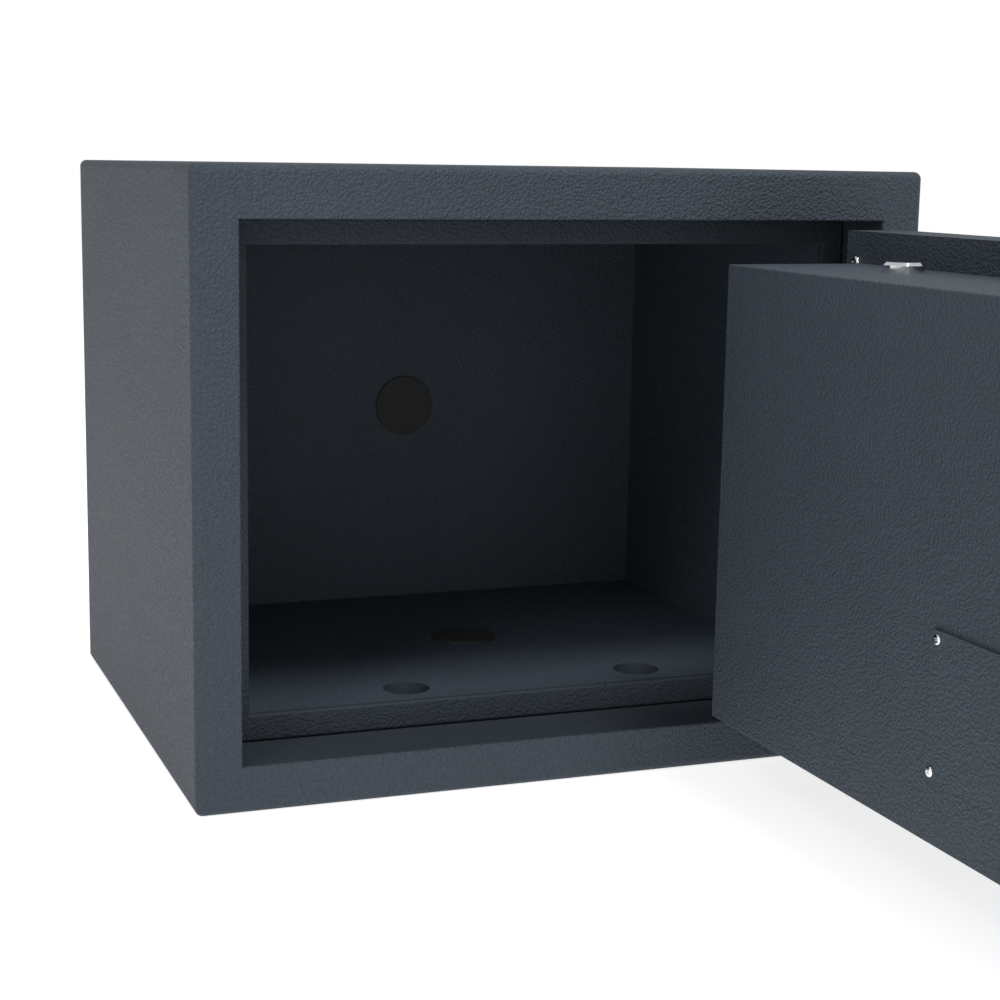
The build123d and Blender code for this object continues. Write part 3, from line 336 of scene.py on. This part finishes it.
def cross_screws(name, places, radius, height, seat_x, shank_radius, shank_length, node):
    """Pan-head screws on a door face square to X, heads towards -X, as one piece for a node."""
    bend = height * CROWN_SHARE
    shape = bmesh.new()
    outline = [shape.verts.new((0.0, 0.0, -height))]
    for step in range(1, CROWN_STEPS + 1):
        angle = step / CROWN_STEPS * math.pi / 2
        reach = radius - bend + bend * math.sin(angle)
        outline.append(shape.verts.new((reach, 0.0, -height + bend * (1 - math.cos(angle)))))
    outline.append(shape.verts.new((radius, 0.0, 0.0)))
    outline.append(shape.verts.new((shank_radius, 0.0, 0.0)))
    outline.append(shape.verts.new((shank_radius, 0.0, shank_length)))
    outline.append(shape.verts.new((0.0, 0.0, shank_length)))
    edges = [shape.edges.new(pair) for pair in zip(outline, outline[1:])]
    bmesh.ops.spin(shape, geom=outline + edges, cent=(0, 0, 0), axis=(0, 0, 1), angle=math.tau,
                   steps=TURN_STEPS, use_merge=True)
    bmesh.ops.remove_doubles(shape, verts=shape.verts, dist=1e-6)
    bmesh.ops.recalc_face_normals(shape, faces=shape.faces)
    blank = bpy.data.meshes.new(name + "_blank")
    shape.to_mesh(blank)
    shape.free()
    cutter_shape = bmesh.new()
    for across in (0, 1):
        bar = bmesh.ops.create_cube(cutter_shape, size=1.0)["verts"]
        wide, narrow = radius * SLOT_LONG, radius * SLOT_WIDE
        size = (wide, narrow, height) if across else (narrow, wide, height)
        bmesh.ops.scale(cutter_shape, verts=bar, vec=size)
        bmesh.ops.translate(cutter_shape, verts=bar, vec=(0, 0, -height))
    cutter_mesh = bpy.data.meshes.new(name + "_recess")
    cutter_shape.to_mesh(cutter_mesh)
    cutter_shape.free()
    blank_piece = bpy.data.objects.new(name + "_blank", blank)
    cutter = bpy.data.objects.new(name + "_recess", cutter_mesh)
    scene.collection.objects.link(blank_piece)
    scene.collection.objects.link(cutter)
    recess = blank_piece.modifiers.new("recess", "BOOLEAN")
    recess.operation = "DIFFERENCE"
    recess.solver = "EXACT"
    recess.use_self = True
    recess.object = cutter
    bpy.context.view_layer.update()
    modelled = bpy.context.evaluated_depsgraph_get()
    cut = bpy.data.meshes.new_from_object(blank_piece.evaluated_get(modelled))
    bpy.data.objects.remove(blank_piece)
    bpy.data.objects.remove(cutter)
    gathered = bmesh.new()
    for index, (y, z) in enumerate(places):
        before = len(gathered.verts)
        gathered.from_mesh(cut)
        gathered.verts.ensure_lookup_table()
        fresh = gathered.verts[before:]
        spin = Matrix.Rotation(index * SCREW_LEAN, 4, "Z")
        stand = Matrix.Translation((seat_x, y, z)) @ Matrix.Rotation(math.pi / 2, 4, "Y") @ spin
        bmesh.ops.transform(gathered, matrix=stand, verts=fresh)
    mesh = bpy.data.meshes.new(name)
    gathered.to_mesh(mesh)
    gathered.free()
    mesh.shade_smooth()
    mesh.set_sharp_from_angle(angle=SOFT_EDGE)
    mesh.materials.append(chrome)
    piece = bpy.data.objects.new(name, mesh)
    scene.collection.objects.link(piece)
    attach(piece, "door")
    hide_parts(node)


HEAD_RADIUS = 3.6 * MM
HEAD_HEIGHT = 2.2 * MM
SHANK_RADIUS = 1.9 * MM
SHANK_LENGTH = 9.0 * MM
back_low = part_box("door_back_plate")[0]
screws_low, screws_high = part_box("door_screws")
screw_columns = (screws_low.y + HEAD_RADIUS, screws_high.y - HEAD_RADIUS)
screw_rows = (screws_low.z + HEAD_RADIUS, (screws_low.z + screws_high.z) / 2, screws_high.z - HEAD_RADIUS)
cross_screws("door_plate_screws", [(y, z) for z in screw_rows for y in screw_columns],
             HEAD_RADIUS, HEAD_HEIGHT, back_low.x, SHANK_RADIUS, SHANK_LENGTH, "door_screws")

COVER_HEAD = 2.4 * MM
COVER_HEAD_HEIGHT = 1.0 * MM
COVER_SHANK_RADIUS = 1.2 * MM
COVER_SHANK_LENGTH = 1.5 * MM
cover_low, cover_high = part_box("cover_screws")
battery_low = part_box("battery_cover")[0]
cover_columns = (cover_low.y + COVER_HEAD, cover_high.y - COVER_HEAD)
cover_rows = (cover_low.z + COVER_HEAD, cover_high.z - COVER_HEAD)
cross_screws("battery_cover_screws", [(y, z) for z in cover_rows for y in cover_columns],
             COVER_HEAD, COVER_HEAD_HEIGHT, battery_low.x, COVER_SHANK_RADIUS, COVER_SHANK_LENGTH,
             "cover_screws")

# ------------------------------------------------------------------ bolt work inside the lock box
# A carriage, a guide bar, brackets and standoffs of machined steel bar, screwed to the back plate,
# with a small gearmotor that turns the lead screw. All of it is hidden under the lock box.
BAR_LINES = (1.0, 0.06, 1.0)
bar_steel = plated("machined_steel", (0.50, 0.51, 0.52), roughness=0.38, brush_scale=BAR_LINES)
coat(["bolt_carriage", "guide_bar", "motor_bracket", "board_standoffs", "bolt_screws"], bar_steel)
coat(["lead_screw", "drive_motor"], bright_steel)


# ------------------------------------------------------------------ keypad
# A moulded black housing screwed to the door's front, with twelve grey moulded keys. The digits
# and the two marks are printed on the key caps.
MOULD_GRAIN_SCALE = 2600.0
MOULD_SPREAD = 0.06


def moulded(name, shade, roughness, grain_height=0.00006):
    """Injection-moulded plastic with a fine spark-eroded grain."""
    finish, nodes, links, shader, place = new_finish(name)
    drift = speckle(nodes, links, place, 30.0, detail=3.0)
    tone = ramp(nodes, links, drift, [(0.3, tinted(shade, 0.9)), (0.7, tinted(shade, 1.1))])
    links.new(tone, shader.inputs["Base Color"])
    grain = speckle(nodes, links, place, MOULD_GRAIN_SCALE, detail=2.0)
    sheen = ramp(nodes, links, grain, [(0.3, roughness - MOULD_SPREAD), (0.7, roughness + MOULD_SPREAD)])
    links.new(sheen, shader.inputs["Roughness"])
    links.new(bump(nodes, links, grain, grain_height), shader.inputs["Normal"])
    return finish


housing_plastic = moulded("housing_plastic", (0.016, 0.017, 0.019), roughness=0.45)
key_plastic = moulded("key_plastic", (0.20, 0.21, 0.225), roughness=0.5)
module_plastic = moulded("module_plastic", (0.012, 0.012, 0.013), roughness=0.35)
coat(["keypad_housing", "battery_tray", "keypad_cable", "lock_cap"], housing_plastic)
coat(["display_module", "board_parts"], module_plastic)
DIGITS = range(10)
coat([f"key_{digit}" for digit in DIGITS] + ["key_clear", "key_lock"], key_plastic)

print_ink = moulded("print_ink", (0.80, 0.81, 0.82), roughness=0.5)
LABEL_SIZE = 8.0 * MM
LABEL_RISE = 0.06 * MM


def stand_on_front(mesh, x, y, z):
    """Turn a flat mesh drawn in XY to face +X with its top up, and set it at a point."""
    facing = Matrix(((0, 0, 1, x), (1, 0, 0, y), (0, 1, 0, z), (0, 0, 0, 1)))
    mesh.transform(facing)


def finish_label(name, mesh, key):
    """Stand a key's mark on the middle of its cap and let it ride with the key."""
    low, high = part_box(key)
    stand_on_front(mesh, high.x, (low.y + high.y) / 2, (low.z + high.z) / 2)
    mesh.materials.append(print_ink)
    piece = bpy.data.objects.new(name, mesh)
    scene.collection.objects.link(piece)
    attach(piece, key)


for digit in DIGITS:
    curve = bpy.data.curves.new(f"label_{digit}", "FONT")
    curve.body = str(digit)
    curve.size = LABEL_SIZE
    curve.align_x = "CENTER"
    curve.align_y = "CENTER"
    curve.extrude = LABEL_RISE
    holder = bpy.data.objects.new(f"label_{digit}", curve)
    scene.collection.objects.link(holder)
    bpy.context.view_layer.update()
    drawn = bpy.context.evaluated_depsgraph_get()
    numeral = bpy.data.meshes.new_from_object(holder.evaluated_get(drawn))
    bpy.data.objects.remove(holder)
    finish_label(f"digit_{digit}", numeral, f"key_{digit}")

# The clear key carries a cross, and the lock key a ring, both printed.
MARK_LONG = 6.4 * MM
MARK_WIDE = 1.0 * MM
cross_shape = bmesh.new()
hub = bmesh.ops.create_cube(cross_shape, size=1.0)["verts"]
bmesh.ops.scale(cross_shape, verts=hub, vec=(MARK_WIDE, MARK_WIDE, 2 * LABEL_RISE))
hub_sides = [face for face in cross_shape.faces if abs(face.normal.z) < 0.5]
for arm in bmesh.ops.extrude_discrete_faces(cross_shape, faces=hub_sides)["faces"]:
    bmesh.ops.translate(cross_shape, verts=arm.verts, vec=arm.normal * (MARK_LONG - MARK_WIDE) / 2)
lean = Matrix.Rotation(math.pi / 4, 3, "Z")
bmesh.ops.rotate(cross_shape, verts=cross_shape.verts, cent=(0, 0, 0), matrix=lean)
bmesh.ops.recalc_face_normals(cross_shape, faces=cross_shape.faces)
cross_mesh = bpy.data.meshes.new("clear_mark")
cross_shape.to_mesh(cross_mesh)
cross_shape.free()
finish_label("clear_mark", cross_mesh, "key_clear")

RING_RADIUS = 2.6 * MM
RING_STEPS = 40
ring_shape = bmesh.new()
corners = [ring_shape.verts.new((RING_RADIUS + side * MARK_WIDE / 2, 0, rise * LABEL_RISE))
           for side, rise in ((-1, -1), (1, -1), (1, 1), (-1, 1))]
loop = [ring_shape.edges.new((corners[i], corners[(i + 1) % 4])) for i in range(4)]
bmesh.ops.spin(ring_shape, geom=corners + loop, cent=(0, 0, 0), axis=(0, 0, 1), angle=math.tau,
               steps=RING_STEPS, use_merge=True)
bmesh.ops.remove_doubles(ring_shape, verts=ring_shape.verts, dist=1e-7)
bmesh.ops.recalc_face_normals(ring_shape, faces=ring_shape.faces)
ring_mesh = bpy.data.meshes.new("lock_mark")
ring_shape.to_mesh(ring_mesh)
ring_shape.free()
finish_label("lock_mark", ring_mesh, "key_lock")

# ------------------------------------------------------------------ display
# A smoked acrylic pane with eased edges, set in the housing a hair in front of the module. The
# module shows four seven-bar figures behind it, with only their middle bars lit.
smoke, nodes, links, shader, place = new_finish("smoked_window")
shader.inputs["Alpha"].default_value = 0.55
shader.inputs["IOR"].default_value = 1.49
haze = speckle(nodes, links, place, 200.0, detail=4.0)
links.new(ramp(nodes, links, haze, [(0.3, 0.006), (0.8, 0.012)]), shader.inputs["Base Color"])
links.new(ramp(nodes, links, haze, [(0.3, 0.03), (0.8, 0.09)]), shader.inputs["Roughness"])
PANE_GAP = 0.2 * MM
PANE_EDGE = 0.25 * MM
window_low, window_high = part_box("display_window")
window_size = window_high - window_low
pane_shape = bmesh.new()
pane = bmesh.ops.create_cube(pane_shape, size=1.0)["verts"]
pane_size = (window_size.x - PANE_GAP, window_size.y - 2 * PANE_GAP, window_size.z - 2 * PANE_GAP)
bmesh.ops.scale(pane_shape, verts=pane, vec=pane_size)
pane_centre = (window_low + window_high) / 2 + Vector((PANE_GAP / 2, 0.0, 0.0))
bmesh.ops.translate(pane_shape, verts=pane, vec=pane_centre)
bmesh.ops.bevel(pane_shape, geom=pane_shape.edges[:], offset=PANE_EDGE, segments=3, profile=0.5,
                affect="EDGES", material=-1)
pane_mesh = bpy.data.meshes.new("display_pane")
pane_shape.to_mesh(pane_mesh)
pane_shape.free()
pane_mesh.materials.append(smoke)
pane_piece = bpy.data.objects.new("display_pane", pane_mesh)
scene.collection.objects.link(pane_piece)
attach(pane_piece, "door")
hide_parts("display_window")

bar_dark = moulded("unlit_bar", (0.05, 0.012, 0.012), roughness=0.4)
bar_lit = moulded("lit_bar", (0.55, 0.04, 0.03), roughness=0.4)
lit_shader = bar_lit.node_tree.nodes["Principled BSDF"]
lit_shader.inputs["Emission Color"].default_value = (1.0, 0.08, 0.05, 1.0)
lit_shader.inputs["Emission Strength"].default_value = 1.6
FIGURE_PITCH = 15.0 * MM
BAR_LONG = 5.4 * MM
BAR_WIDE = 1.3 * MM
BAR_RISE = 0.3 * MM
BAR_FILL = 0.9
BAR_EDGE = 0.12 * MM
FIGURES = 4
module_low, module_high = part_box("display_module")
module_middle = (module_low + module_high) / 2
BARS = ((0, 1, 0), (0, 0, 0), (0, -1, 0), (1, 0.5, 1), (1, -0.5, 1), (-1, 0.5, 1), (-1, -0.5, 1))
BAR_SETS = ((False, bar_dark, "display_bars_unlit"), (True, bar_lit, "display_bars_lit"))
for shown, bar_finish, bar_name in BAR_SETS:
    bars = bmesh.new()
    for figure in range(FIGURES):
        across = (figure - (FIGURES - 1) / 2) * FIGURE_PITCH
        for side, up, upright in BARS:
            lit = (side, up) == (0, 0)
            if lit != shown:
                continue
            bar = bmesh.ops.create_cube(bars, size=1.0)["verts"]
            length = BAR_LONG * BAR_FILL
            size = (BAR_WIDE, length, BAR_RISE) if upright else (length, BAR_WIDE, BAR_RISE)
            bmesh.ops.scale(bars, verts=bar, vec=size)
            centre = (across + side * BAR_LONG / 2, up * BAR_LONG, 0)
            bmesh.ops.translate(bars, verts=bar, vec=centre)
    bmesh.ops.bevel(bars, geom=bars.edges[:], offset=BAR_EDGE, segments=2, profile=0.5,
                    affect="EDGES", material=-1)
    bar_mesh = bpy.data.meshes.new(bar_name)
    bars.to_mesh(bar_mesh)
    bars.free()
    stand_on_front(bar_mesh, module_high.x, module_middle.y, module_middle.z)
    bar_mesh.materials.append(bar_finish)
    bar_piece = bpy.data.objects.new(bar_name, bar_mesh)
    scene.collection.objects.link(bar_piece)
    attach(bar_piece, "door")

# ------------------------------------------------------------------ key override
# A turned brass barrel fixed through the door's front, with a brass core that the key turns. Both
# sit behind a plastic cap that swings aside on its stud.
brass = plated("turned_brass", (0.75, 0.56, 0.26), roughness=0.24)
coat(["lock_barrel", "lock_core"], brass)

# ------------------------------------------------------------------ electronics and cells
# Green glass-epoxy boards with copper tracks under the mask, one behind the keys and one on
# standoffs in the lock box. The four cells are steel cans in plain shrunk sleeves.
board, nodes, links, shader, place = new_finish("circuit_board_green")
tracks = nodes.new("ShaderNodeTexBrick")
tracks.inputs["Scale"].default_value = 90.0
tracks.inputs["Mortar Size"].default_value = 0.04
tracks.inputs["Color1"].default_value = (0.010, 0.085, 0.035, 1.0)
tracks.inputs["Color2"].default_value = (0.014, 0.110, 0.045, 1.0)
tracks.inputs["Mortar"].default_value = (0.035, 0.19, 0.08, 1.0)
sideways = nodes.new("ShaderNodeMapping")
sideways.inputs["Rotation"].default_value = (0.0, math.pi / 2, 0.0)
links.new(place, sideways.inputs["Vector"])
links.new(sideways.outputs["Vector"], tracks.inputs["Vector"])
links.new(tracks.outputs["Color"], shader.inputs["Base Color"])
TRACK_HEIGHT = 0.00004
links.new(bump(nodes, links, tracks.outputs["Fac"], TRACK_HEIGHT), shader.inputs["Normal"])
shader.inputs["Roughness"].default_value = 0.35
coat(["keypad_board", "control_board"], board)
cell_sleeve = moulded("cell_sleeve", (0.06, 0.08, 0.14), roughness=0.3, grain_height=0.00002)
coat(["battery_cells"], cell_sleeve)
